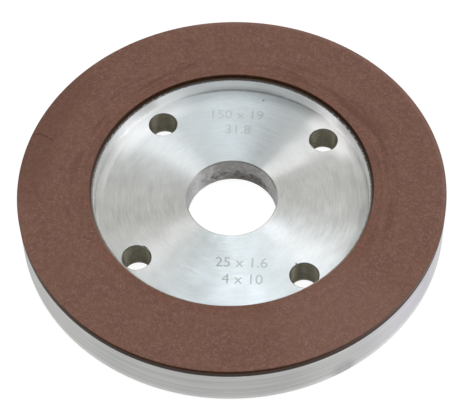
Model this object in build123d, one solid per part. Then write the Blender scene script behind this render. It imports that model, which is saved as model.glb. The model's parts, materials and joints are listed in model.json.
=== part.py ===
from build123d import *
import os

# Diamond cup wheel for face grinding: a turned aluminium wheel with a shallow well in its face,
# a plain resin backing in a rebate round the rim, and a thin diamond layer bonded on top of it.
# Millimetres. The origin is the centre of the flat back face, and +Z points out of the grinding
# face. +X runs through the first bolt hole.

# Whole wheel
wheel_diameter = 150.0
wheel_height = 19.05        # back face to grinding face
back_edge_chamfer = 1.0     # on every edge of the back face: outside, bore and bolt holes

# Abrasive rim
rim_width = 25.4            # radial width of the diamond layer
diamond_depth = 1.5875      # usable height of the diamond layer
diamond_edge_break = 0.2    # dressed corners of the grinding face

# Plain resin backing under the diamond layer
backing_depth = 1.85        # height in the rebate
backing_lap = 0.6           # height where it laps over the locating lip

# Well inside the rim
lip_width = 0.95            # locating lip between the rebate and the well
floor_thickness = 11.6
floor_corner_radius = 0.8   # left by the turning tool where the wall meets the floor

# Bore
bore_diameter = 31.75
bore_edge_chamfer = 0.45    # on the edge in the well

# Bolt holes in the floor of the well
bolt_count = 4
bolt_circle_diameter = 82.55
bolt_hole_diameter = 9.9
bolt_hole_edge_chamfer = 0.25   # on the edge in the well

# Radii and heights that follow from the sizes above
outer_radius = wheel_diameter / 2
bore_radius = bore_diameter / 2
rim_inner_radius = outer_radius - rim_width
well_radius = rim_inner_radius - lip_width
diamond_base = wheel_height - diamond_depth
lip_top = diamond_base - backing_lap
rebate_floor = diamond_base - backing_depth


def turned(*corners):
    """A solid of revolution about Z from the (radius, height) corners of its section."""
    with BuildPart() as ring:
        with BuildSketch(Plane.XZ):
            with BuildLine():
                Polyline(*corners, close=True)
            make_face()
        revolve(axis=Axis.Z)
    return ring.part


def circles_at(part, radius, height, tolerance=0.001):
    """The part's circular edges about Z that have this radius and height."""
    on_axis = Vector(0, 0, height)
    circles = part.edges().filter_by(GeomType.CIRCLE)
    level = [edge for edge in circles if (edge.arc_center - on_axis).length < tolerance]
    return [edge for edge in level if abs(edge.radius - radius) < tolerance]


def make_wheel_body():
    """Turned aluminium wheel: back face, rim with its rebate and lip, well and bore."""
    body = turned(
        (bore_radius, 0),
        (outer_radius, 0),
        (outer_radius, rebate_floor),
        (rim_inner_radius, rebate_floor),
        (rim_inner_radius, lip_top),
        (well_radius, lip_top),
        (well_radius, floor_thickness),
        (bore_radius, floor_thickness),
    )
    body = fillet(circles_at(body, well_radius, floor_thickness), floor_corner_radius)
    back_edges = circles_at(body, outer_radius, 0) + circles_at(body, bore_radius, 0)
    body = chamfer(back_edges, back_edge_chamfer)
    body = chamfer(circles_at(body, bore_radius, floor_thickness), bore_edge_chamfer)
    return body - bolt_hole_cutters()


def bolt_hole_cutters():
    """The drilled bolt holes with a countersink at each end, as solids to cut away."""
    hole_radius = bolt_hole_diameter / 2
    drill = turned(
        (0, 0),
        (hole_radius + back_edge_chamfer, 0),
        (hole_radius, back_edge_chamfer),
        (hole_radius, floor_thickness - bolt_hole_edge_chamfer),
        (hole_radius + bolt_hole_edge_chamfer, floor_thickness),
        (0, floor_thickness),
    )
    return [place * drill for place in PolarLocations(bolt_circle_diameter / 2, bolt_count)]


def make_backing_ring():
    """Plain resin ring that fills the rebate and laps over the locating lip."""
    return turned(
        (rim_inner_radius, rebate_floor),
        (outer_radius, rebate_floor),
        (outer_radius, diamond_base),
        (well_radius, diamond_base),
        (well_radius, lip_top),
        (rim_inner_radius, lip_top),
    )


def make_abrasive_ring():
    """Diamond layer, flat on the grinding face, with its two top corners dressed off."""
    ring = turned(
        (rim_inner_radius, diamond_base),
        (outer_radius, diamond_base),
        (outer_radius, wheel_height),
        (rim_inner_radius, wheel_height),
    )
    top_corners = circles_at(ring, outer_radius, wheel_height)
    top_corners += circles_at(ring, rim_inner_radius, wheel_height)
    return chamfer(top_corners, diamond_edge_break)


parts = {
    "wheel_body": make_wheel_body(),
    "backing_ring": make_backing_ring(),
    "abrasive_ring": make_abrasive_ring(),
}

os.makedirs("parts", exist_ok=True)
for name, solid in parts.items():
    export_step(solid, f"parts/{name}.step")
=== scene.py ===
import json
import math

import bpy
from mathutils import Matrix, Vector


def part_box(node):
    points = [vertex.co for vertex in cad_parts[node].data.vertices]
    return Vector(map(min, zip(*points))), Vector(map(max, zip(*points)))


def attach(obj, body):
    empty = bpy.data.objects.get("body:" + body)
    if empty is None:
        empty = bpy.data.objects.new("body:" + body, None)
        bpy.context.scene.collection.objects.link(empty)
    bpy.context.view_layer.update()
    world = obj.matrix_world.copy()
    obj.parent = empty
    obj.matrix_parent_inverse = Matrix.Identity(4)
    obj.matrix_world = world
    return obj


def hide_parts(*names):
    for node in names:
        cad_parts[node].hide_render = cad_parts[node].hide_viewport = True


# Looks for the diamond cup wheel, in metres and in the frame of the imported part: the origin is
# the centre of the flat back, +Z points out of the grinding face, +X runs through a bolt hole.

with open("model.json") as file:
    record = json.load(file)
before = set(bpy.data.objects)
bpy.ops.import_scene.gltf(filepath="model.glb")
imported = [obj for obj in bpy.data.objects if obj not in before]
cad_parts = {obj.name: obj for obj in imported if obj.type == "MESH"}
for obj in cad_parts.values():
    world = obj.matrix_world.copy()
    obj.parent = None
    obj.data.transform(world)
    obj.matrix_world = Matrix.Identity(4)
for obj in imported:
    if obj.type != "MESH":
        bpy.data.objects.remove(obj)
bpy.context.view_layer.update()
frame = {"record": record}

MM = 0.001

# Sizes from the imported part
mounts = {mount["name"]: mount["dims"] for mount in frame["record"]["mounts"]}
bore_radius = mounts["bore"]["r_mm"] * MM
bolt_circle_radius = mounts["bolt_holes"]["pcd_mm"] / 2 * MM
bolt_hole_radius = mounts["bolt_holes"]["hole_r_mm"] * MM
bolt_count = mounts["bolt_holes"]["count"]
outer_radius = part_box("wheel_body")[1].x
lip_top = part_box("wheel_body")[1].z
rebate_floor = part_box("backing_ring")[0].z
diamond_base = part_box("abrasive_ring")[0].z
wheel_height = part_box("abrasive_ring")[1].z

# Sizes that the record doesn't hold
rim_inner_radius = 49.6 * MM
well_radius = 48.65 * MM
floor_height = 11.6 * MM
floor_corner_radius = 0.8 * MM
back_edge_chamfer = 1.0 * MM
bore_edge_chamfer = 0.45 * MM
bolt_hole_edge_chamfer = 0.25 * MM
diamond_edge_break = 0.2 * MM

# Directions, in degrees round from +X
worn_bearing = 222.6        # where the inner edge is worn most
photo_turn = -35.42         # the right-hand side of the photograph

SEGMENTS = 384              # round each turned piece
SHARP_ANGLE = math.radians(30)


# Small helpers

def fill(tree, node, inputs):
    """Gives a node's inputs, by name or place, plain values or sockets to link."""
    for name, value in inputs.items():
        if isinstance(value, bpy.types.NodeSocket):
            tree.links.new(value, node.inputs[name])
        else:
            node.inputs[name].default_value = value


def add(tree, kind, inputs=None, **settings):
    """A node with its settings and its inputs."""
    node = tree.nodes.new(kind)
    for name, value in settings.items():
        setattr(node, name, value)
    fill(tree, node, inputs or {})
    return node


def calc(tree, operation, *values):
    """The result of one sum on numbers or sockets."""
    return add(tree, "ShaderNodeMath", dict(enumerate(values)), operation=operation).outputs[0]


def product(tree, *factors):
    """Numbers or sockets multiplied together, one after the other."""
    result = factors[0]
    for factor in factors[1:]:
        result = calc(tree, "MULTIPLY", result, factor)
    return result


def ramp(tree, value, low, high, start=0.0, end=1.0, smooth=True):
    """Value taken from the range low to high onto start to end, and held there outside it."""
    inputs = {"Value": value, "From Min": low, "From Max": high, "To Min": start, "To Max": end}
    kind = "SMOOTHSTEP" if smooth else "LINEAR"
    return add(tree, "ShaderNodeMapRange", inputs, interpolation_type=kind).outputs["Result"]


def toward(tree, where, bearing):
    """How near a point's bearing on the wheel is to a given one in degrees, as the cosine of the
    angle between them: 1 on it, -1 opposite."""
    angle = math.radians(bearing)
    return calc(tree, "ADD", product(tree, where["Round X"], math.cos(angle)),
                product(tree, where["Round Y"], math.sin(angle)))


def hypotenuse(tree, x, y):
    """The length that two lengths at right angles make."""
    return calc(tree, "SQRT", calc(tree, "ADD", product(tree, x, x), product(tree, y, y)))


def opaque(colour):
    """A plain (red, green, blue) with its alpha, or a colour's socket as it is."""
    return (*colour, 1.0) if isinstance(colour, tuple) else colour


def blend(tree, factor, first, second, mode="MIX"):
    """Two colours mixed by a factor."""
    node = add(tree, "ShaderNodeMix", data_type="RGBA", blend_type=mode)
    place = {socket.identifier: index for index, socket in enumerate(node.inputs)}
    fill(tree, node, {
        place["Factor_Float"]: factor,
        place["A_Color"]: opaque(first),
        place["B_Color"]: opaque(second),
    })
    return next(socket for socket in node.outputs if socket.identifier == "Result_Color")


def new_shader_group(name, inputs, outputs):
    """An empty shader node group with named sockets, and its two end nodes."""
    tree = bpy.data.node_groups.new(name, "ShaderNodeTree")
    for side, sockets in (("INPUT", inputs), ("OUTPUT", outputs)):
        for label, kind in sockets.items():
            tree.interface.new_socket(label, in_out=side, socket_type="NodeSocket" + kind)
    return tree, tree.nodes.new("NodeGroupInput"), tree.nodes.new("NodeGroupOutput")


def use(tree, made, inputs=None):
    """What a finished group gives where it is placed in a material."""
    node = add(tree, "ShaderNodeGroup", node_tree=made)
    fill(tree, node, inputs or {})
    return node.outputs


def new_material(name, **shader):
    """A material with one Principled shader, and the values that are the same all over it."""
    material = bpy.data.materials.new(name)
    material.use_nodes = True
    principled = material.node_tree.nodes["Principled BSDF"]
    for label, value in shader.items():
        principled.inputs[label.replace("_", " ")].default_value = value
    return material, material.node_tree, principled


# Effects that several finishes share

def make_polar_group():
    """Where a point lies on the wheel: its radius, its height and its bearing on a unit circle,
    and how far it faces up."""
    names = ("Radius", "Height", "Round X", "Round Y", "Up")
    tree, _, out = new_shader_group("wheel position", {}, dict.fromkeys(names, "Float"))
    coordinates = add(tree, "ShaderNodeTexCoord")
    place = add(tree, "ShaderNodeSeparateXYZ", {0: coordinates.outputs["Object"]}).outputs
    facing = add(tree, "ShaderNodeSeparateXYZ", {0: coordinates.outputs["Normal"]}).outputs
    radius = hypotenuse(tree, place[0], place[1])
    fill(tree, out, {
        "Radius": radius,
        "Height": place[2],
        "Round X": calc(tree, "DIVIDE", place[0], radius),
        "Round Y": calc(tree, "DIVIDE", place[1], radius),
        "Up": facing[2],
    })
    return tree


def make_bolt_hole_group():
    """Distance to the nearest bolt hole's axis. The holes lie on the X and Y axes."""
    tree, _, out = new_shader_group("bolt hole distance", {}, {"Distance": "Float"})
    coordinates = add(tree, "ShaderNodeTexCoord")
    place = add(tree, "ShaderNodeSeparateXYZ", {0: coordinates.outputs["Object"]}).outputs
    x = calc(tree, "ABSOLUTE", place[0])
    y = calc(tree, "ABSOLUTE", place[1])
    outward = calc(tree, "SUBTRACT", calc(tree, "MAXIMUM", x, y), bolt_circle_radius)
    sideways = calc(tree, "MINIMUM", x, y)
    fill(tree, out, {"Distance": hypotenuse(tree, outward, sideways)})
    return tree


def make_turning_group(polar):
    """Lines a turning tool leaves: they run round the wheel, on flat faces and on walls alike."""
    tree, ends, out = new_shader_group(
        "turning lines",
        {"Spacing": "Float", "Length Round": "Float"},
        {"Lines": "Float"},
    )
    where = use(tree, polar)
    given = ends.outputs
    feed = calc(tree, "DIVIDE", calc(tree, "ADD", where["Radius"], where["Height"]),
                given["Spacing"])
    round_x = calc(tree, "DIVIDE", where["Round X"], given["Length Round"])
    round_y = calc(tree, "DIVIDE", where["Round Y"], given["Length Round"])
    vector = add(tree, "ShaderNodeCombineXYZ", {0: feed, 1: round_x, 2: round_y}).outputs[0]
    noise = add(tree, "ShaderNodeTexNoise", {"Vector": vector, "Scale": 1.0, "Detail": 2.0})
    fill(tree, out, {"Lines": noise.outputs["Fac"]})
    return tree


def make_mottle_group():
    """Cloudy patches between 0 and 1, by their size, the share they cover and how softly they
    end."""
    tree, ends, out = new_shader_group(
        "mottle",
        {"Size": "Float", "Cover": "Float", "Softness": "Float"},
        {"Mask": "Float"},
    )
    given = ends.outputs
    coordinates = add(tree, "ShaderNodeTexCoord")
    scale = calc(tree, "DIVIDE", 1.0, given["Size"])
    noise = add(tree, "ShaderNodeTexNoise",
                {"Vector": coordinates.outputs["Object"], "Scale": scale, "Detail": 4.0})
    low = calc(tree, "SUBTRACT", 1.0, given["Cover"])
    low = calc(tree, "SUBTRACT", low, given["Softness"])
    high = calc(tree, "ADD", low, product(tree, given["Softness"], 2.0))
    fill(tree, out, {"Mask": ramp(tree, noise.outputs["Fac"], low, high)})
    return tree


polar_group = make_polar_group()
bolt_hole_group = make_bolt_hole_group()
turning_group = make_turning_group(polar_group)
mottle_group = make_mottle_group()


# Finishes

dark_bond = (0.112, 0.051, 0.036)       # the diamond layer's resin where dust or wear darkens it


def mottle(tree, size, cover=0.5, softness=0.2):
    """Cloudy patches of a size, over a share of the surface."""
    values = {"Size": size, "Cover": cover, "Softness": softness}
    return use(tree, mottle_group, values)["Mask"]


def tool_lines(tree, spacing, length_round):
    """Lines of a turning tool, by their spacing and how far round each runs before it changes."""
    values = {"Spacing": spacing, "Length Round": length_round}
    return use(tree, turning_group, values)["Lines"]


def sector(tree, where, bearing, edge, core, strength=1.0, outside=0.0):
    """A mask that is full round one bearing and fades to both sides. The edge and the core are
    cosines of the angle off the bearing."""
    return ramp(tree, toward(tree, where, bearing), edge, core, outside, strength)


def spot(tree, centre, core, edge, strength):
    """A round mark, at full strength within the core of its centre and gone at its edge."""
    place = add(tree, "ShaderNodeTexCoord").outputs["Object"]
    away = add(tree, "ShaderNodeVectorMath", {0: place, 1: centre}, operation="DISTANCE")
    return ramp(tree, away.outputs["Value"], core, edge, strength, 0.0)


def roughen(tree, shader, strength, depth, height):
    """Fine relief on a finish, from a height between 0 and 1."""
    bump = add(tree, "ShaderNodeBump",
               {"Strength": strength, "Distance": depth, "Height": height})
    fill(tree, shader, {"Normal": bump.outputs["Normal"]})


def new_turned_metal(name):
    """A metal whose highlights are drawn out across lines that run round the wheel."""
    material, tree, shader = new_material(
        name, Metallic=1.0, Anisotropic=1.0, Anisotropic_Rotation=0.25,
    )
    tangent = add(tree, "ShaderNodeTangent", direction_type="RADIAL", axis="Z")
    fill(tree, shader, {"Tangent": tangent.outputs[0]})
    return material, tree, shader


def make_aluminium():
    """Bright turned aluminium: lines round the wheel, the well's walls painted lighter than the
    flat as painted light, painted shade along the wall's foot, painted light and shade on the flat
    and the side, and a dull bore and bolt holes."""
    material, tree, shader = new_turned_metal("turned aluminium")
    metal = read_metal(tree)
    # The flat, with its painted reflections and painted shade
    tint = painted_floor_light(tree, metal, flat_tint(tree, metal))
    # Painted light: the well's wall lighter than the flat
    tint = blend(tree, metal["at wall"], tint, lit_wall_tint(tree, metal))
    # Painted light and shade on the turned side
    tint = blend(tree, metal["at side"], tint, lit_side_tint(tree, metal))

    # Painted shade in the crease at the wall's foot and beside it
    crease_shade, foot_shade = painted_crease_shade(tree, metal)
    speck_centre = (35.43 * MM, 27.63 * MM, floor_height)
    speck = spot(tree, speck_centre, 0.22 * MM, 0.5 * MM, 0.8)
    tint = blend(tree, crease_shade, tint, (0.20, 0.180, 0.16))
    tint = blend(tree, foot_shade, tint, (0.25, 0.24, 0.225))
    tint = blend(tree, speck, tint, (0.12, 0.11, 0.12))

    tint = blend(tree, in_bore(tree, metal), tint, bore_tint(tree, metal))
    tint = blend(tree, in_bolt_hole(tree, metal), tint, bolt_hole_tint(tree, metal))

    roughness = calc(tree, "ADD", ramp(tree, metal["fine lines"], 0.3, 0.7, 0.36, 0.42),
                     product(tree, metal["cloud"], 0.04))
    # The crease is also rougher where its shade is painted
    roughness = calc(tree, "ADD", roughness, product(tree, crease_shade, 0.2))
    fill(tree, shader, {"Base Color": tint, "Roughness": roughness})
    roughen(tree, shader, 0.3, 0.02 * MM, metal["fine lines"])
    return material


def read_metal(tree):
    """What the metal's finishes share, by name: the place on the wheel, and masks of its zones,
    of the tool's lines and of wear."""
    where = use(tree, polar_group)
    radius, height, up = where["Radius"], where["Height"], where["Up"]
    in_well = ramp(tree, height, floor_height - 2 * MM, floor_height - 1 * MM)
    at_wall = product(tree, in_well,
                      ramp(tree, radius, well_radius - 0.35 * MM, well_radius - 0.1 * MM))
    at_side = ramp(tree, radius, outer_radius - 1.3 * MM, outer_radius - 1.1 * MM)
    length_round = ramp(tree, calc(tree, "MAXIMUM", at_wall, at_side), 0, 1, 0.16, 0.9)
    fine_lines = tool_lines(tree, 0.42 * MM, length_round)
    return {
        "where": where,
        "radius": radius,
        "height": height,
        "in well": in_well,
        "at wall": at_wall,
        "at side": at_side,
        "on chamfer": product(tree, ramp(tree, up, 0.3, 0.5), ramp(tree, up, 0.9, 0.99, 1.0, 0.0)),
        "fine lines": fine_lines,
        "cut": ramp(tree, fine_lines, 0.3, 0.7),
        "cloud": mottle(tree, 11 * MM),
        "worn": mottle(tree, 1.7 * MM),
    }


def flat_tint(tree, metal):
    """The flat of the well and the back, with faint broad bands, fine speckles and clouds."""
    tint = blend(tree, metal["cut"], (0.650, 0.660, 0.665), (0.600, 0.613, 0.615))
    bands = ramp(tree, tool_lines(tree, 2.6 * MM, 1.8), 0.35, 0.7, 0.0, 0.15)
    tint = blend(tree, bands, tint, (0.60, 0.61, 0.605))
    speckles = product(tree, mottle(tree, 0.7 * MM), 0.5)
    tint = blend(tree, speckles, tint, (0.590, 0.597, 0.600))
    # Painted light on the flat, multiplied in
    tint = blend(tree, 1.0, tint, painted_flat_light(tree, metal["where"]), "MULTIPLY")
    return blend(tree, product(tree, metal["cloud"], 0.25), tint, (0.58, 0.58, 0.565))


def painted_flat_light(tree, where):
    """Painted light on the flat: brighter toward one side, painted highlights in three narrow fans,
    and a painted tint of the lamps' colours, a little cooler along one line through the centre than
    across it."""
    lit_bearing = 252
    cool_bearing = 60
    fans = ((2, 0.972, 1.21), (97, 0.965, 1.10), (205, 0.975, 1.14))    # bearing, edge, gain
    # Painted light: brighter toward one side
    rubbed = ramp(tree, toward(tree, where, lit_bearing), -1.0, 1.0, 0.885, 1.155, smooth=False)
    # Painted highlights in three narrow fans
    for bearing, edge, gain in fans:
        rubbed = product(tree, rubbed, sector(tree, where, bearing, edge, 0.998, gain, 1.0))
    # A painted tint of the lamps' colours
    along = calc(tree, "ABSOLUTE", toward(tree, where, cool_bearing))
    red = product(tree, rubbed, ramp(tree, along, 0.1, 1.0, 1.04, 0.965))
    blue = product(tree, rubbed, ramp(tree, along, 0.1, 1.0, 0.965, 1.025))
    shade = add(tree, "ShaderNodeCombineColor", {"Red": red, "Green": rubbed, "Blue": blue})
    return shade.outputs["Color"]


def painted_floor_light(tree, metal, tint):
    """The flat with painted reflected light and painted shade, between the bolt holes and the wall
    and then close to the wall."""
    where, radius = metal["where"], metal["radius"]
    # Painted reflected light, and painted shade
    bright = (0.93, 0.92, 0.91)
    dull = (0.33, 0.33, 0.325)
    by_holes = product(tree, metal["in well"],
                       ramp(tree, radius, well_radius - 9.5 * MM, well_radius - 5 * MM))
    by_wall = product(tree, metal["in well"],
                      ramp(tree, radius, well_radius - 4 * MM, well_radius - 2.6 * MM))
    bright_by_holes = calc(tree, "MAXIMUM", sector(tree, where, -2, 0.95, 0.995, 0.74),
                           sector(tree, where, 95, 0.88, 0.985, 0.42))
    dull_by_holes = sector(tree, where, 322, 0.96, 0.998, 0.3)
    dull_by_wall = sector(tree, where, 308, 0.955, 0.995, 0.32)
    bright_by_wall = calc(tree, "MAXIMUM", sector(tree, where, 125, 0.94, 0.99, 0.40),
                          sector(tree, where, -17, 0.975, 0.998, 0.28))
    tint = blend(tree, product(tree, by_holes, bright_by_holes), tint, bright)
    tint = blend(tree, product(tree, by_holes, dull_by_holes), tint, dull)
    tint = blend(tree, product(tree, by_wall, dull_by_wall), tint, dull)
    return blend(tree, product(tree, by_wall, bright_by_wall), tint, bright)


def lit_wall_tint(tree, metal):
    """The well's turned wall, painted lighter than the flat to stand for the light it reflects."""
    return blend(tree, metal["cut"], (0.99, 0.99, 0.985), (0.95, 0.96, 0.965))


def lit_side_tint(tree, metal):
    """The turned side: painted cooler light toward +X, a painted reflection of the floor along its
    foot, a painted highlight at one bearing and painted shade at another, and scuffed in one place
    low down."""
    where = metal["where"]
    side = blend(tree, metal["cut"], (0.725, 0.720, 0.700), (0.600, 0.595, 0.580))
    cool_reflection = blend(tree, metal["cut"], (0.735, 0.715, 0.765), (0.610, 0.590, 0.635))
    # Painted light: cooler toward +X
    side = blend(tree, ramp(tree, where["Round X"], -0.3, 0.4, 0.0, 0.8), side, cool_reflection)
    # Painted reflection of the floor, lighter along the foot
    foot = ramp(tree, metal["height"], 1.8 * MM, 4.0 * MM, 0.65, 0.0)
    side = blend(tree, foot, side, (0.91, 0.90, 0.90))
    # Painted highlight at one bearing
    side = blend(tree, sector(tree, where, 315, 0.93, 1.0, 0.5), side, (0.95, 0.94, 0.95))
    # Painted shade at another bearing
    side = blend(tree, sector(tree, where, 180, 0.97, 0.999, 0.35), side, (0.46, 0.455, 0.45))
    scuff_centre = (-9.5 * MM, -74.4 * MM, 3.2 * MM)
    scuff = spot(tree, scuff_centre, 1.5 * MM, 6.5 * MM, 0.75)
    scuff = product(tree, scuff, ramp(tree, metal["cloud"], 0, 1, 0.55, 1.0))
    return blend(tree, scuff, side, (0.42, 0.42, 0.43))


def painted_crease_shade(tree, metal):
    """Masks of the painted shade in the crease at the wall's foot on one side, and of the fainter
    painted shade on the floor and the wall beside it."""
    where, height = metal["where"], metal["height"]
    crease_radius = well_radius - 0.3 * MM
    off_crease = calc(tree, "ABSOLUTE", calc(tree, "SUBTRACT", metal["radius"], crease_radius))
    in_crease = product(
        tree,
        ramp(tree, off_crease, 0.1 * MM, 0.75 * MM, 1.0, 0.0),
        ramp(tree, height, floor_height + 0.2 * MM, floor_height + 0.8 * MM, 1.0, 0.0),
    )
    shaded_side = product(tree, metal["in well"], sector(tree, where, 42, 0.80, 0.97, 0.58, 0.04))
    ragged = ramp(tree, mottle(tree, 2.5 * MM, 0.52, 0.3), 0, 1, 0.75, 1.0)
    crease_shade = product(tree, in_crease, shaded_side, ragged)

    near_crease = calc(tree, "ADD", ramp(tree, off_crease, 0.3 * MM, 2.8 * MM, 0.24, 0.0),
                       product(tree, metal["at wall"], 0.3))
    foot_shade = product(
        tree,
        near_crease,
        ramp(tree, height, floor_height + 0.4 * MM, floor_height + 3.2 * MM, 1.0, 0.0),
        metal["in well"],
        sector(tree, where, 47, 0.925, 0.99, 0.58, 0.02),
    )
    return crease_shade, foot_shade


def in_bore(tree, metal):
    """Mask of the bore and its chamfer."""
    return ramp(tree, metal["radius"], bore_radius + 0.4 * MM, bore_radius + 0.5 * MM, 1.0, 0.0)


def bore_tint(tree, metal):
    """The bore: warm grey, painted lighter on two sides as painted reflections, browned and pitted
    toward the back on one side, with a grimy chamfer."""
    where, height = metal["where"], metal["height"]
    pitted_side = toward(tree, where, 42)
    bored = blend(tree, metal["worn"], (0.64, 0.62, 0.605), (0.46, 0.445, 0.43))
    # Painted reflections: two sides of the bore lighter
    bore_reflection = blend(tree, metal["worn"], (0.99, 0.98, 0.99), (0.80, 0.79, 0.80))
    reflecting_sides = ramp(tree, calc(tree, "ABSOLUTE", pitted_side), 0.1, 0.9, 1.0, 0.0)
    bored = blend(tree, reflecting_sides, bored, bore_reflection)

    brown = product(tree, sector(tree, where, 28, 0.8, 0.97, 0.6),
                    ramp(tree, height, 3.0 * MM, 7.0 * MM, 1.0, 0.0))
    bored = blend(tree, brown, bored, (0.19, 0.155, 0.14))
    pits = product(
        tree,
        mottle(tree, 1.5 * MM, 0.46, 0.07),
        ramp(tree, height, 1.2 * MM, 3.2 * MM),
        ramp(tree, height, 5.2 * MM, 7.4 * MM, 1.0, 0.0),
        ramp(tree, pitted_side, 0.45, 0.85),
        0.7,
    )
    bored = blend(tree, pits, bored, (0.12, 0.10, 0.095))
    grimy = product(tree, metal["on chamfer"], ramp(tree, pitted_side, 0.2, 0.8, 0.25, 1.0))
    return blend(tree, grimy, bored, (0.27, 0.26, 0.25))


def in_bolt_hole(tree, metal):
    """Mask of the bolt holes with their countersinks and nicked edges."""
    from_axis = use(tree, bolt_hole_group)["Distance"]
    inside = ramp(tree, from_axis, bolt_hole_radius + 0.26 * MM, bolt_hole_radius + 0.34 * MM,
                  1.0, 0.0)
    close = calc(tree, "LESS_THAN", from_axis, bolt_hole_radius + 1.2 * MM)
    return calc(tree, "MAXIMUM", inside, product(tree, metal["on chamfer"], close))


def bolt_hole_tint(tree, metal):
    """The drilled holes: olive grey with the drill's rings down the wall, dark on the countersink,
    and paler at the back, painted light from the floor below."""
    drilled = blend(tree, metal["cut"], (0.52, 0.50, 0.385), (0.37, 0.345, 0.255))
    drilled = blend(tree, product(tree, metal["worn"], 0.6), drilled, (0.35, 0.31, 0.26))
    drilled = blend(tree, metal["on chamfer"], drilled, (0.16, 0.15, 0.14))
    # Painted light: paler toward the back, lit from the floor below
    back_light = ramp(tree, metal["height"], 1.1 * MM, 2.4 * MM, 0.6, 0.0)
    return blend(tree, back_light, drilled, (0.75, 0.71, 0.62))


def make_diamond_layer():
    """Brown resin bond full of fine diamond: ground matt on the face, smudged near the inner edge,
    with a dark skin on its sides."""
    material, tree, shader = new_material("diamond layer", Specular_IOR_Level=0.05)
    where = use(tree, polar_group)
    grain = mottle(tree, 0.4 * MM, 0.5, 0.12)
    clump = mottle(tree, 1.5 * MM, 0.5, 0.16)
    face = smudged(tree, where, ground_tint(tree, grain, clump))
    face = unevenly_worn(tree, where, face)

    # The ground face keeps its colour over the dressed corners, the sides keep the mould's skin
    ground = ramp(tree, where["Up"], 0.2, 0.6)
    colour = blend(tree, ground, skin_tint(tree, where, clump), face)
    colour = corner_worn(tree, where, ground, colour)
    fill(tree, shader, {"Base Color": colour, "Roughness": ramp(tree, grain, 0, 1, 0.62, 0.8)})
    roughen(tree, shader, 0.5, 0.06 * MM, calc(tree, "ADD", grain, product(tree, clump, 0.8)))
    return material


def ground_tint(tree, grain, clump):
    """The ground face: brown with fine grain, darker clumps and wide warmer patches."""
    patch = mottle(tree, 9 * MM)
    face = blend(tree, grain, (0.149, 0.075, 0.056), (0.243, 0.131, 0.103))
    face = blend(tree, product(tree, clump, 0.64), face, (0.137, 0.067, 0.050))
    return blend(tree, product(tree, patch, 0.35), face, (0.196, 0.100, 0.070))


def smudged(tree, where, face):
    """The face with grinding dust rubbed round it: dark arcs outside the inner edge, and redder
    patches along that edge."""
    radius = where["Radius"]
    near_edge = product(
        tree,
        ramp(tree, radius, rim_inner_radius + 1.2 * MM, rim_inner_radius + 3.5 * MM),
        ramp(tree, radius, rim_inner_radius + 6 * MM, rim_inner_radius + 12 * MM, 1.0, 0.15),
    )
    arcs = ramp(tree, tool_lines(tree, 2.4 * MM, 0.3), 0.45, 0.65, 0.0, 0.55)
    off_worn_side = ramp(tree, toward(tree, where, worn_bearing), -0.3, 0.7, 1.0, 0.2)
    face = blend(tree, product(tree, near_edge, arcs, off_worn_side), face, dark_bond)
    along_edge = ramp(tree, radius, rim_inner_radius + 2 * MM, rim_inner_radius + 6 * MM, 0.5, 0.06)
    red = product(tree, mottle(tree, 4 * MM, 0.4, 0.1), along_edge)
    return blend(tree, red, face, (0.235, 0.092, 0.062))


def unevenly_worn(tree, where, face):
    """The face with uneven wear: darker along the inner edge and round one side, lighter at one
    bearing, and a painted highlight along part of the outer edge."""
    radius = where["Radius"]
    dark_side = product(tree, sector(tree, where, 123, 0.85, 0.985, 0.42),
                        ramp(tree, radius, outer_radius - 14 * MM, outer_radius - 5 * MM))
    inner_edge = ramp(tree, radius, rim_inner_radius + 1 * MM, rim_inner_radius + 4.5 * MM,
                      0.2, 0.0)
    face = blend(tree, calc(tree, "MAXIMUM", dark_side, inner_edge), face, dark_bond)
    # A painted highlight along part of the outer edge
    edge_highlight = product(tree, sector(tree, where, 10, 0.35, 0.7, 0.28),
                         ramp(tree, radius, outer_radius - 2 * MM, outer_radius - 0.8 * MM))
    light_side = sector(tree, where, 266, 0.92, 0.995, 0.14)
    lighter = calc(tree, "MAXIMUM", edge_highlight, light_side)
    return blend(tree, lighter, face, (0.290, 0.175, 0.145))


def skin_tint(tree, where, clump):
    """The dark skin that the mould left on the diamond layer's sides, with a painted sheen on the
    outside that grows away from the worn side, and dusty in places inside.
    """
    worn_side = toward(tree, where, worn_bearing)
    skin = blend(tree, clump, (0.062, 0.023, 0.009), (0.036, 0.014, 0.006))
    # Painted sheen on the outside, where light grazes it away from the worn side
    outside = calc(tree, "GREATER_THAN", where["Radius"], outer_radius - 1 * MM)
    outside_sheen = product(tree, outside, ramp(tree, worn_side, 1.0, 0.25))
    skin = blend(tree, outside_sheen, skin, (0.245, 0.165, 0.145))
    inside = calc(tree, "LESS_THAN", where["Radius"], rim_inner_radius + 1 * MM)
    inside_dust = product(tree, inside, ramp(tree, worn_side, -0.85, 0.1, 0.0, 0.55))
    return blend(tree, inside_dust, skin, (0.150, 0.108, 0.078))


def corner_worn(tree, where, ground, colour):
    """The inner dressed corner, worn pale on one side and dark on the other."""
    worn_side = toward(tree, where, worn_bearing)
    corner = product(
        tree,
        ground,
        ramp(tree, where["Up"], 0.72, 0.95, 1.0, 0.0),
        calc(tree, "LESS_THAN", where["Radius"], rim_inner_radius + 1 * MM),
    )
    pale = product(tree, corner, ramp(tree, worn_side, 0.2, 0.6, 0.0, 0.6))
    dark = product(tree, corner, ramp(tree, worn_side, -0.5, 0.35, 0.85, 0.0))
    colour = blend(tree, pale, colour, (0.36, 0.27, 0.19))
    return blend(tree, dark, colour, (0.030, 0.014, 0.008))


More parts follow.
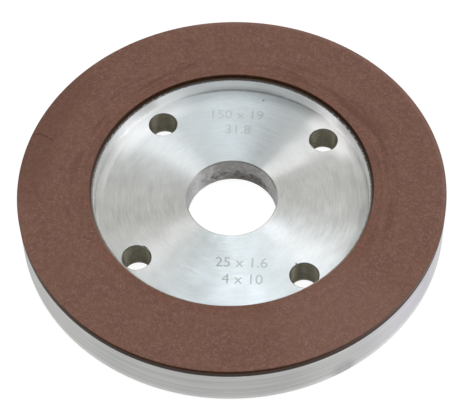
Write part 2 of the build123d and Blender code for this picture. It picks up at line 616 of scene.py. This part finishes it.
def make_backing_resin():
    """Plain dark resin with no diamond in it."""
    material, tree, shader = new_material("backing resin", Specular_IOR_Level=0.08)
    where = use(tree, polar_group)
    worn_side = toward(tree, where, worn_bearing)
    grain = mottle(tree, 0.5 * MM)
    patch = mottle(tree, 5 * MM)
    colour = blend(tree, grain, (0.033, 0.023, 0.018), (0.050, 0.036, 0.030))
    colour = blend(tree, product(tree, patch, 0.5), colour, (0.048, 0.030, 0.022))
    # Painted sheen on the outside, lighter away from the worn side, where light grazes it
    outside = calc(tree, "GREATER_THAN", where["Radius"], outer_radius - 1 * MM)
    dust = product(tree, ramp(tree, worn_side, 1.0, 0.25, 0.1, 0.42), outside)
    colour = blend(tree, dust, colour, (0.20, 0.152, 0.137))

    # Painted light and shade on the ledge inside the diamond layer: paler toward the well, darker
    # in the painted shade of the diamond layer's wall, and paler most on the worn side
    across = ramp(tree, where["Radius"], well_radius, rim_inner_radius, 1.0, 0.0, smooth=False)
    on_ledge = calc(tree, "LESS_THAN", where["Radius"], rim_inner_radius + 0.3 * MM)
    rubbed = product(tree, across, ramp(tree, worn_side, -0.6, 0.4, 0.14, 0.95), on_ledge)
    colour = blend(tree, rubbed, colour, (0.37, 0.335, 0.295))

    metal = blend(tree, ramp(tree, worn_side, -0.6, 0.2), (0.46, 0.46, 0.48), (0.42, 0.40, 0.375))
    colour = blend(tree, metal_smear(tree, where, worn_side), colour, metal)
    fill(tree, shader, {"Base Color": colour, "Roughness": ramp(tree, grain, 0, 1, 0.5, 0.65)})
    roughen(tree, shader, 0.3, 0.04 * MM, grain)
    return material


def metal_smear(tree, where, worn_side):
    """Mask of the metal smeared up over the resin's lap when the well was faced, with a ragged
    upper edge."""
    ragged = mottle(tree, 0.9 * MM)
    edge = ramp(tree, ragged, 0, 1, lip_top + 0.22 * MM, lip_top + 0.46 * MM)
    edge = calc(tree, "ADD", edge, ramp(tree, worn_side, -0.95, -0.7, 0.0, 0.22 * MM))
    below = calc(tree, "GREATER_THAN", edge, where["Height"])
    on_lap = calc(tree, "LESS_THAN", where["Radius"], well_radius + 0.3 * MM)
    return product(tree, below, on_lap, 0.8)


def make_diamond_grit():
    """Pale and amber grains of diamond."""
    material, tree, shader = new_material("diamond grit", IOR=1.7, Specular_IOR_Level=0.4)
    shade = mottle(tree, 0.8 * MM, 0.5, 0.1)
    colour = blend(tree, shade, (0.315, 0.225, 0.190), (0.205, 0.130, 0.100))
    fill(tree, shader, {"Base Color": colour, "Roughness": ramp(tree, shade, 0, 1, 0.25, 0.45)})
    return material


def make_etched_aluminium():
    """Turned aluminium frosted a little darker by the etch."""
    material, tree, shader = new_turned_metal("etched aluminium")
    frost = mottle(tree, 0.5 * MM)
    colour = blend(tree, frost, (0.44, 0.445, 0.44), (0.53, 0.535, 0.53))
    fill(tree, shader, {"Base Color": colour, "Roughness": ramp(tree, frost, 0, 1, 0.42, 0.48)})
    return material


# Geometry Nodes trees

def new_geometry_tree(name, inputs, result):
    """An empty Geometry Nodes tree with named inputs, what its inputs give, and the socket that
    takes its result."""
    tree = bpy.data.node_groups.new(name, "GeometryNodeTree")
    for label, kind in inputs.items():
        tree.interface.new_socket(label, in_out="INPUT", socket_type="NodeSocket" + kind)
    tree.interface.new_socket(result, in_out="OUTPUT", socket_type="NodeSocketGeometry")
    given = tree.nodes.new("NodeGroupInput").outputs
    return tree, given, tree.nodes.new("NodeGroupOutput").inputs[result]


def realized(tree, geometry):
    """Instances made plain geometry."""
    return add(tree, "GeometryNodeRealizeInstances", {"Geometry": geometry}).outputs[0]


def dressed(tree, geometry, material):
    """Geometry with one material all over."""
    inputs = {"Geometry": geometry, "Material": material}
    return add(tree, "GeometryNodeSetMaterial", inputs).outputs[0]


def raised(tree, geometry, height):
    """Geometry moved up by a height."""
    up = add(tree, "ShaderNodeCombineXYZ", {2: height}).outputs[0]
    inputs = {"Geometry": geometry, "Translation": up}
    return add(tree, "GeometryNodeTransform", inputs).outputs[0]


def random_turn(tree, seed):
    """A random turn about all three axes for every copy."""
    return add(tree, "FunctionNodeRandomValue",
               {"Min": (0.0, 0.0, 0.0), "Max": (math.tau, math.tau, math.tau), "Seed": seed},
               data_type="FLOAT_VECTOR").outputs["Value"]


def cut_away(tree, piece, cutters):
    """A piece with closed shapes cut out of it."""
    cut = add(tree, "GeometryNodeMeshBoolean", {"Mesh 1": piece},
              operation="DIFFERENCE", solver="EXACT")
    cut.inputs["Self Intersection"].default_value = True
    for cutter in cutters:
        tree.links.new(cutter, cut.inputs["Mesh 2"])
    return cut.outputs["Mesh"]


def finish_shading(tree, geometry, given):
    """Smooth shading with sharp edges kept, then plain geometry with its material."""
    smooth = add(tree, "GeometryNodeSetShadeSmooth", {"Geometry": geometry}, domain="FACE")
    angle = add(tree, "GeometryNodeInputMeshEdgeAngle").outputs["Unsigned Angle"]
    sharp = calc(tree, "GREATER_THAN", angle, given["Sharp Angle"])
    edged = add(tree, "GeometryNodeSetShadeSmooth",
                {"Geometry": smooth.outputs[0], "Selection": sharp, "Shade Smooth": False},
                domain="EDGE")
    return dressed(tree, realized(tree, edged.outputs[0]), given["Material"])


def make_turning_tree():
    """Sweeps a closed section round the Z axis. The section is drawn with its radius, less the
    guide radius, along X and its height down Y."""
    tree, given, piece = new_geometry_tree("turned from a section", {
        "Section": "Geometry",
        "Guide Radius": "Float",
        "Segments": "Int",
        "Sharp Angle": "Float",
        "Material": "Material",
    }, "Piece")
    curve = add(tree, "GeometryNodeMeshToCurve", {"Mesh": given["Section"]})
    path = add(tree, "GeometryNodeCurvePrimitiveCircle",
               {"Resolution": given["Segments"], "Radius": given["Guide Radius"]})
    swept = add(tree, "GeometryNodeCurveToMesh",
                {"Curve": path.outputs["Curve"], "Profile Curve": curve.outputs["Curve"]})
    tree.links.new(finish_shading(tree, swept.outputs["Mesh"], given), piece)
    return tree


def make_bolt_hole_tree():
    """Cuts a ring of bolt holes, each with a light countersink at both ends, through a piece."""
    tree, given, piece = new_geometry_tree("bolt holes", {
        "Piece": "Geometry",
        "Circle Radius": "Float",
        "Hole Radius": "Float",
        "Edge Chamfer": "Float",
        "Back Chamfer": "Float",
        "Thickness": "Float",
        "Sharp Angle": "Float",
        "Count": "Int",
        "Material": "Material",
    }, "Piece")
    around = 96             # corners round each hole
    run_out = 1 * MM        # how far each cutter stands out of the piece
    hole_radius = given["Hole Radius"]
    length = calc(tree, "ADD", given["Thickness"], 2 * run_out)
    drill = add(tree, "GeometryNodeMeshCylinder",
                {"Vertices": around, "Radius": hole_radius, "Depth": length})
    middle = calc(tree, "MULTIPLY", given["Thickness"], 0.5)
    deep = calc(tree, "ADD", given["Edge Chamfer"], run_out)
    upper = add(tree, "GeometryNodeMeshCone",
                {"Vertices": around, "Radius Bottom": hole_radius, "Depth": deep,
                 "Radius Top": calc(tree, "ADD", hole_radius, deep)})
    above = calc(tree, "SUBTRACT", given["Thickness"], given["Edge Chamfer"])
    back_deep = calc(tree, "ADD", given["Back Chamfer"], run_out)
    lower = add(tree, "GeometryNodeMeshCone",
                {"Vertices": around, "Radius Top": hole_radius, "Depth": back_deep,
                 "Radius Bottom": calc(tree, "ADD", hole_radius, back_deep)})

    circle = add(tree, "GeometryNodeMeshCircle",
                 {"Vertices": given["Count"], "Radius": given["Circle Radius"]})
    cutters = []
    for cutter, height in ((drill, middle), (upper, above), (lower, -run_out)):
        copies = add(tree, "GeometryNodeInstanceOnPoints",
                     {"Points": circle.outputs["Mesh"],
                      "Instance": raised(tree, cutter.outputs["Mesh"], height)})
        cutters.append(realized(tree, copies.outputs[0]))
    cut = cut_away(tree, given["Piece"], cutters)
    tree.links.new(finish_shading(tree, cut, given), piece)
    return tree


def make_bite_tree():
    """Takes a small bite out of a piece at every point of a set, as big as the point's size."""
    tree, given, piece = new_geometry_tree("bites", {
        "Piece": "Geometry",
        "Places": "Object",
        "Seed": "Int",
        "Sharp Angle": "Float",
        "Material": "Material",
    }, "Piece")
    places = add(tree, "GeometryNodeObjectInfo", {"Object": given["Places"]})
    ball = add(tree, "GeometryNodeMeshIcoSphere", {"Radius": 1.0, "Subdivisions": 2})
    size = add(tree, "GeometryNodeInputNamedAttribute", {"Name": "size"}, data_type="FLOAT")
    copies = add(tree, "GeometryNodeInstanceOnPoints",
                 {"Points": places.outputs["Geometry"], "Instance": ball.outputs["Mesh"],
                  "Rotation": random_turn(tree, given["Seed"]), "Scale": size.outputs[0]})
    cut = cut_away(tree, given["Piece"], [realized(tree, copies.outputs[0])])
    tree.links.new(finish_shading(tree, cut, given), piece)
    return tree


def make_grit_tree():
    """Scatters angular grains over the upward faces of a piece, sunk to their middles."""
    tree, given, grains = new_geometry_tree("grit", {
        "Piece": "Geometry",
        "Density": "Float",
        "Smallest": "Float",
        "Largest": "Float",
        "Seed": "Int",
        "Material": "Material",
    }, "Grains")
    facing = add(tree, "GeometryNodeInputNormal").outputs[0]
    up = add(tree, "ShaderNodeSeparateXYZ", {0: facing}).outputs[2]
    points = add(tree, "GeometryNodeDistributePointsOnFaces",
                 {"Mesh": given["Piece"], "Selection": calc(tree, "GREATER_THAN", up, 0.9),
                  "Density": given["Density"], "Seed": given["Seed"]})
    grain = add(tree, "GeometryNodeMeshIcoSphere", {"Radius": 1.0, "Subdivisions": 1})
    size = add(tree, "FunctionNodeRandomValue",
               {"Min": given["Smallest"], "Max": given["Largest"], "Seed": given["Seed"]},
               data_type="FLOAT")
    copies = add(tree, "GeometryNodeInstanceOnPoints",
                 {"Points": points.outputs["Points"], "Instance": grain.outputs["Mesh"],
                  "Rotation": random_turn(tree, given["Seed"]), "Scale": size.outputs["Value"]})
    real = realized(tree, copies.outputs[0])
    tree.links.new(dressed(tree, real, given["Material"]), grains)
    return tree


def make_bead_tree():
    """Flat beads of squeezed-out resin, scattered round a circular joint."""
    tree, given, beads = new_geometry_tree("resin beads", {
        "Piece": "Geometry",
        "Places": "Int",
        "Joint Radius": "Float",
        "Joint Height": "Float",
        "Share Kept": "Float",
        "Smallest": "Vector",
        "Largest": "Vector",
        "Seed": "Int",
        "Material": "Material",
    }, "Beads")
    circle = add(tree, "GeometryNodeMeshCircle",
                 {"Vertices": given["Places"], "Radius": given["Joint Radius"]})
    joint = raised(tree, circle.outputs["Mesh"], given["Joint Height"])
    kept = add(tree, "FunctionNodeRandomValue",
               {"Probability": given["Share Kept"], "Seed": given["Seed"]}, data_type="BOOLEAN")
    place = add(tree, "GeometryNodeInputPosition").outputs[0]
    outward = add(tree, "ShaderNodeVectorMath", {0: place, 1: (1.0, 1.0, 0.0)},
                  operation="MULTIPLY").outputs[0]
    turned = add(tree, "FunctionNodeAlignRotationToVector", {"Vector": outward}, axis="X",
                 pivot_axis="Z").outputs[0]
    bead = add(tree, "GeometryNodeMeshIcoSphere", {"Radius": 1.0, "Subdivisions": 2})
    size = add(tree, "FunctionNodeRandomValue",
               {"Min": given["Smallest"], "Max": given["Largest"], "Seed": given["Seed"]},
               data_type="FLOAT_VECTOR")
    copies = add(tree, "GeometryNodeInstanceOnPoints",
                 {"Points": joint, "Selection": kept.outputs["Value"],
                  "Instance": bead.outputs["Mesh"], "Rotation": turned,
                  "Scale": size.outputs["Value"]})
    real = realized(tree, copies.outputs[0])
    tree.links.new(dressed(tree, real, given["Material"]), beads)
    return tree


turning_tree = make_turning_tree()
bolt_hole_tree = make_bolt_hole_tree()
bite_tree = make_bite_tree()
grit_tree = make_grit_tree()
bead_tree = make_bead_tree()


# Pieces

def new_piece(name, mesh):
    """An object at the origin for a mesh."""
    piece = bpy.data.objects.new(name, mesh)
    bpy.context.scene.collection.objects.link(piece)
    return piece


def build_piece(name, corners, faces, material):
    """A piece from its corners and faces, in one material."""
    mesh = bpy.data.meshes.new(name)
    mesh.from_pydata(corners, [], faces)
    mesh.materials.append(material)
    return new_piece(name, mesh)


def plain_mesh(piece):
    """A piece's mesh as it stands after its modifiers, or a curve's as a mesh."""
    evaluated = piece.evaluated_get(bpy.context.evaluated_depsgraph_get())
    return bpy.data.meshes.new_from_object(evaluated)


def put(piece, slot, *nodes):
    """The piece rides with the wheel and stands for CAD nodes, which are hidden. The slot is not
    used.
    """
    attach(piece, "root")
    if nodes:
        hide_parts(*nodes)


def grow(piece, tree, **values):
    """Runs a Geometry Nodes tree on a piece and keeps the result as its plain mesh."""
    modifier = piece.modifiers.new(tree.name, "NODES")
    modifier.node_group = tree
    for item in tree.interface.items_tree:
        label = item.name.lower().replace(" ", "_")
        if item.item_type == "SOCKET" and item.in_out == "INPUT" and label in values:
            modifier[item.identifier] = values[label]
    mesh = plain_mesh(piece)
    piece.modifiers.remove(modifier)
    piece.data = mesh
    mesh.name = piece.name
    return piece


def rounded(corners):
    """A section's (radius, height, rounding) corners as points, with the rounded ones as arcs."""
    arc_steps = 8
    support_share = 0.06    # an extra point past each end of an arc keeps the flats shaded flat
    points = []
    for index, (x, y, rounding) in enumerate(corners):
        corner = Vector((x, y))
        if not rounding:
            points.append(corner)
            continue
        before = (Vector(corners[index - 1][:2]) - corner).normalized()
        after = (Vector(corners[(index + 1) % len(corners)][:2]) - corner).normalized()
        half = before.angle(after) / 2
        reach = rounding / math.tan(half)
        centre = corner + (before + after).normalized() * rounding / math.sin(half)
        support = reach + rounding * support_share
        first = (corner + before * reach - centre).normalized()
        last = (corner + after * reach - centre).normalized()
        points.append(corner + before * support)
        for step in range(arc_steps + 1):
            points.append(centre + first.slerp(last, step / arc_steps) * rounding)
        points.append(corner + after * support)
    return points


def turn(name, corners, material):
    """A turned piece from its section corners (radius, height, rounding), listed clockwise."""
    guide = outer_radius / 2
    points = [(radius - guide, -height, 0.0) for radius, height in rounded(corners)]
    count = len(points)
    edges = [(index, (index + 1) % count) for index in range(count)]
    section = bpy.data.meshes.new(name)
    section.from_pydata(points, edges, [])
    return grow(new_piece(name, section), turning_tree, guide_radius=guide, segments=SEGMENTS,
                sharp_angle=SHARP_ANGLE, material=material)


def bitten(piece, bites, material, seed):
    """The piece with small bites taken out of it, each given as (x, y, height, size) in mm."""
    places = bpy.data.meshes.new("bite places")
    places.from_pydata([Vector(bite[:3]) * MM for bite in bites], [], [])
    sizes = places.attributes.new("size", "FLOAT", "POINT")
    sizes.data.foreach_set("value", [bite[3] * MM for bite in bites])
    marker = new_piece("bite places", places)
    grow(piece, bite_tree, places=marker, seed=seed, sharp_angle=SHARP_ANGLE, material=material)
    bpy.data.objects.remove(marker)
    return piece


def make_wheel_body(material):
    """The turned wheel with its rebate, lip, well, bore and bolt holes, two of them nicked."""
    body = turn("turned_wheel", [
        (bore_radius + back_edge_chamfer, 0, 0),
        (bore_radius, back_edge_chamfer, 0),
        (bore_radius, floor_height - bore_edge_chamfer, 0),
        (bore_radius + bore_edge_chamfer, floor_height, 0),
        (well_radius, floor_height, floor_corner_radius),
        (well_radius, lip_top, 0),
        (rim_inner_radius, lip_top, 0),
        (rim_inner_radius, rebate_floor, 0),
        (outer_radius, rebate_floor, 0),
        (outer_radius, back_edge_chamfer, 0),
        (outer_radius - back_edge_chamfer, 0, 0),
    ], material)
    grow(body, bolt_hole_tree, circle_radius=bolt_circle_radius, hole_radius=bolt_hole_radius,
         edge_chamfer=bolt_hole_edge_chamfer, back_chamfer=back_edge_chamfer,
         thickness=floor_height, sharp_angle=SHARP_ANGLE, count=bolt_count, material=material)
    nicks = [
        (-36.30, 1.15, 11.60, 0.42), (-36.55, 1.95, 11.55, 0.50), (-36.95, 2.60, 11.60, 0.38),
        (-36.15, 0.30, 11.65, 0.26), (0.62, -36.15, 11.60, 0.36), (0.80, -35.70, 11.62, 0.26),
    ]
    return bitten(body, nicks, material, seed=3)


def make_backing_ring(material):
    """The plain resin ring in the rebate, lapping over the lip."""
    return turn("resin_backing_ring", [
        (rim_inner_radius, rebate_floor, 0),
        (rim_inner_radius, lip_top, 0),
        (well_radius, lip_top, 0),
        (well_radius, diamond_base, 0),
        (outer_radius, diamond_base, 0),
        (outer_radius, rebate_floor, 0),
    ], material)


def make_diamond_ring(material):
    """The diamond layer with its dressed corners, chipped in places and scratched across."""
    edge = diamond_edge_break
    ring = turn("diamond_ring", [
        (rim_inner_radius, diamond_base, 0),
        (rim_inner_radius, wheel_height - edge, 0),
        (rim_inner_radius + edge, wheel_height, 0),
        (outer_radius - edge, wheel_height, 0),
        (outer_radius, wheel_height - edge, 0),
        (outer_radius, diamond_base, 0),
    ], material)
    chips = [
        (-48.95, 8.34, 19.00, 0.42), (-48.75, 9.30, 19.05, 0.30), (21.90, -44.55, 19.00, 0.45),
        (22.80, -44.10, 19.05, 0.32), (20.70, -45.10, 19.05, 0.28), (2.45, -49.60, 19.00, 0.40),
        (1.60, -49.65, 19.05, 0.26), (44.90, 21.20, 19.05, 0.30), (31.20, 38.60, 19.05, 0.26),
    ]
    return bitten(ring, chips + scratch_bites(), material, seed=5)


def scratch_bites():
    """A scratch in the grinding face, as a row of small bites along a crooked line, in mm."""
    corners = [
        (-42.22, 61.61), (-41.12, 60.36), (-40.09, 59.66),
        (-39.38, 58.14), (-38.71, 56.59), (-38.21, 54.79),
    ]
    height = 19.12          # above the face, so that the bites stay shallow
    middle_size = 0.32
    size_change = 0.1
    bites = []
    for first, last in zip(corners, corners[1:]):
        for share in (0.0, 0.25, 0.5, 0.75):
            x, y = Vector(first).lerp(Vector(last), share)
            size = middle_size + size_change * math.sin(7 * x)
            bites.append((x, y, height, size))
    return bites


def make_grit(ring, material):
    """Diamond grains that stand a little proud of the ground face and catch the light."""
    grains = new_piece("diamond_grit", ring.data.copy())
    return grow(grains, grit_tree, density=0.32 / MM ** 2, smallest=0.04 * MM,
                largest=0.11 * MM, seed=11, material=material)


def make_resin_beads(material):
    """The ragged lower edge of the backing inside the well."""
    beads = new_piece("resin_beads", bpy.data.meshes.new("resin_beads"))
    return grow(beads, bead_tree, places=460, joint_radius=well_radius, joint_height=lip_top,
                share_kept=0.5, smallest=Vector((0.05, 0.15, 0.06)) * MM,
                largest=Vector((0.10, 0.50, 0.22)) * MM, seed=7, material=material)


def make_hole_burr(material):
    """A sliver of metal left on the rim of the bolt hole at +X, on the side toward the bore."""
    steps = 14
    spread = math.radians(17)           # to each side of the middle
    width = 0.5 * MM
    top = floor_height + 0.02 * MM
    underside = floor_height - 0.12 * MM
    rim = bolt_hole_radius + bolt_hole_edge_chamfer
    root = rim + 0.05 * MM
    corners = []
    for step in range(steps + 1):
        share = step / steps
        bearing = math.pi + spread * (2 * share - 1)
        raggedness = 0.8 + 0.2 * math.cos(17 * share)
        tip = rim - width * math.sin(math.pi * share) * raggedness
        for radius in (root, tip):
            x = bolt_circle_radius + radius * math.cos(bearing)
            y = radius * math.sin(bearing)
            corners += [(x, y, top), (x, y, underside)]
    faces = []
    for first in range(0, 4 * steps, 4):
        after = first + 4
        for one, two in ((0, 2), (2, 3), (3, 1), (1, 0)):
            faces.append((first + one, first + two, after + two, after + one))
    end = 4 * steps
    faces += [(0, 1, 3, 2), (end, end + 2, end + 3, end + 1)]
    return build_piece("hole_burr", corners, faces, material)


def make_etched_sizes(material):
    """Plain size figures in millimetres, lightly etched in the floor of the well."""
    figure_height = 5.6 * MM
    lift = 0.004 * MM
    turned_by = Matrix.Rotation(math.radians(-40), 4, "Z")
    sizes = (       # figures, and x and y in mm
        ("150 x 19", 23.6, 28.3),
        ("31.8", 19.9, 22.7),
        ("25 x 1.6", -14.0, -24.0),
        ("4 x 10", -17.9, -29.6),
    )
    corners = []
    faces = []
    for text, x, y in sizes:
        flat = flat_figures(text, figure_height)
        place = Matrix.Translation((x * MM, y * MM, floor_height + lift)) @ turned_by
        faces += [[len(corners) + index for index in face.vertices] for face in flat.polygons]
        corners += [place @ corner.co for corner in flat.vertices]
    return build_piece("etched_sizes", corners, faces, material)


def flat_figures(text, height):
    """A flat mesh of some figures, centred on the origin."""
    figures = bpy.data.curves.new("figures", "FONT")
    figures.body = text
    figures.size = height
    figures.align_x = "CENTER"
    figures.align_y = "CENTER"
    marker = new_piece("figures", figures)
    flat = plain_mesh(marker)
    bpy.data.objects.remove(marker)
    return flat


aluminium = make_aluminium()
resin = make_backing_resin()
diamond_ring = make_diamond_ring(make_diamond_layer())
put(make_wheel_body(aluminium), "turned_aluminium", "wheel_body")
put(make_backing_ring(resin), "resin_backing", "backing_ring")
put(diamond_ring, "diamond_layer", "abrasive_ring")
put(make_grit(diamond_ring, make_diamond_grit()), "diamond_layer")
put(make_resin_beads(resin), "resin_backing")
put(make_hole_burr(aluminium), "turned_aluminium")
put(make_etched_sizes(make_etched_aluminium()), "turned_aluminium")


# Floor, light and camera

def make_floor():
    """A wide pale floor, just below the wheel's back."""
    size = 4.0
    drop = 0.02 * MM
    corners = [
        (-size, -size, -drop),
        (size, -size, -drop),
        (size, size, -drop),
        (-size, size, -drop),
    ]
    finish = make_floor_finish(contact=10 * drop)
    build_piece("floor", corners, [(0, 1, 2, 3)], finish)


def make_floor_finish(contact):
    """White to the camera and pale in metal, with the wheel's shadow. The floor is clear from
    below, and clear to rays that start within the contact distance, so that light reaches the
    wheel's back, which lies on it."""
    material = bpy.data.materials.new("pale floor")
    material.use_nodes = True
    tree = material.node_tree
    tree.nodes.clear()
    plain = grey(tree, 0.8)

    # What the camera sees: white, a little darker in the wheel's shadow
    white = added(tree, grey(tree, 0.12), glow(tree, 0.93))

    # What metal shows: the lit floor, brightened outside the wheel and not under it
    place = add(tree, "ShaderNodeTexCoord").outputs["Object"]
    from_wheel = add(tree, "ShaderNodeVectorMath", {0: place}, operation="LENGTH").outputs["Value"]
    outside = ramp(tree, from_wheel, outer_radius - 4 * MM, outer_radius, 0.0, 0.32)
    mirrored = added(tree, grey(tree, 0.55), glow(tree, outside))

    rays = add(tree, "ShaderNodeLightPath").outputs
    in_metal = calc(tree, "MAXIMUM", rays["Is Glossy Ray"], rays["Is Transmission Ray"])
    surface = mixed(tree, in_metal, plain, mirrored)
    surface = mixed(tree, rays["Is Camera Ray"], surface, white)
    clear = add(tree, "ShaderNodeBsdfTransparent").outputs[0]
    behind = add(tree, "ShaderNodeNewGeometry").outputs["Backfacing"]
    touching = calc(tree, "LESS_THAN", rays["Ray Length"], contact)
    see_through = calc(tree, "MAXIMUM", behind, touching)
    surface = mixed(tree, see_through, surface, clear)
    add(tree, "ShaderNodeOutputMaterial", {"Surface": surface})
    return material


def grey(tree, level):
    """A plain matt grey."""
    return add(tree, "ShaderNodeBsdfDiffuse", {"Color": (level, level, level, 1.0)}).outputs[0]


def glow(tree, strength):
    """A plain white glow."""
    return add(tree, "ShaderNodeEmission", {"Strength": strength}).outputs[0]


def added(tree, first, second):
    """Two shaders added together."""
    return add(tree, "ShaderNodeAddShader", {0: first, 1: second}).outputs[0]


def mixed(tree, factor, first, second):
    """Two shaders mixed by a factor."""
    return add(tree, "ShaderNodeMixShader", {0: factor, 1: first, 2: second}).outputs[0]


def make_world(level, colour):
    """Plain pale light from all round."""
    world = bpy.data.worlds.new("studio")
    world.use_nodes = True
    background = world.node_tree.nodes["Background"]
    fill(world.node_tree, background, {"Color": opaque(colour), "Strength": level})
    bpy.context.scene.world = world


def softbox(name, bearing, elevation, power, colour):
    """A soft square lamp that faces the wheel. Bearing is in degrees round from +X."""
    size = 0.6
    distance = 1.5
    lamp = bpy.data.lights.new(name, "AREA")
    lamp.shape = "SQUARE"
    lamp.size = size
    lamp.energy = power
    lamp.color = colour
    around = math.radians(bearing)
    up = math.radians(elevation)
    place = Vector((math.cos(around) * math.cos(up), math.sin(around) * math.cos(up), math.sin(up)))
    piece = bpy.data.objects.new(name, lamp)
    piece.location = place * distance
    piece.rotation_euler = (-place).to_track_quat("-Z", "Y").to_euler()
    bpy.context.scene.collection.objects.link(piece)


def make_lamps():
    """The studio's lamps. Bearings are in degrees round from the photograph's right-hand side."""
    lamps = (       # name, bearing, elevation, power, colour
        ("far side", 90, 54, 1.8, (0.97, 1.0, 0.98)),
        ("left side", 175, 50, 2.9, (1.0, 0.97, 0.97)),
        ("right side", -5, 50, 3.2, (0.98, 0.97, 1.0)),
        ("high right", 15, 65, 1.7, (0.95, 0.97, 1.0)),
        ("back right", 40, 58, 0.6, (1.0, 1.0, 1.0)),
        ("overhead", 90, 88, 3.0, (0.85, 0.94, 1.0)),
        ("overhead right", 20, 84, 1.0, (0.97, 1.0, 1.0)),
        ("near side", -90, 62, 0.8, (1.0, 1.0, 1.0)),
        ("near left", -130, 22, 0.5, (1.0, 1.0, 1.0)),
        ("near right", -50, 22, 1.3, (1.0, 1.0, 1.0)),
    )
    for name, bearing, elevation, power, colour in lamps:
        softbox(name, photo_turn + bearing, elevation, power, colour)


def make_camera():
    """A long lens at the photograph's angle, aimed a little off the wheel's centre."""
    elevation = math.radians(54.26)
    roll = math.radians(-1.99)
    distance = 672.4 * MM
    aim = Vector((0.484 * MM, -8.841 * MM, 0.0))
    place = Vector((0.0, -math.cos(elevation), math.sin(elevation))) * distance
    ahead = (aim - place).normalized()
    level = ahead.cross(Vector((0, 0, 1))).normalized()
    upright = level.cross(ahead)
    side = level * math.cos(roll) + upright * math.sin(roll)
    top = upright * math.cos(roll) - level * math.sin(roll)
    stand = Matrix((side, top, -ahead)).transposed().to_4x4()
    stand.translation = place
    data = bpy.data.cameras.new("camera")
    data.sensor_width = 36.0
    data.lens = 148.3
    camera = bpy.data.objects.new("camera", data)
    face_centre = Matrix.Translation((0, 0, wheel_height))
    turned_by = Matrix.Rotation(math.radians(photo_turn), 4, "Z")
    camera.matrix_world = face_centre @ turned_by @ stand
    bpy.context.scene.collection.objects.link(camera)
    bpy.context.scene.camera = camera


make_floor()
make_world(level=0.46, colour=(0.98, 1.0, 0.985))
make_lamps()
make_camera()
bpy.context.scene.view_settings.view_transform = "Standard"
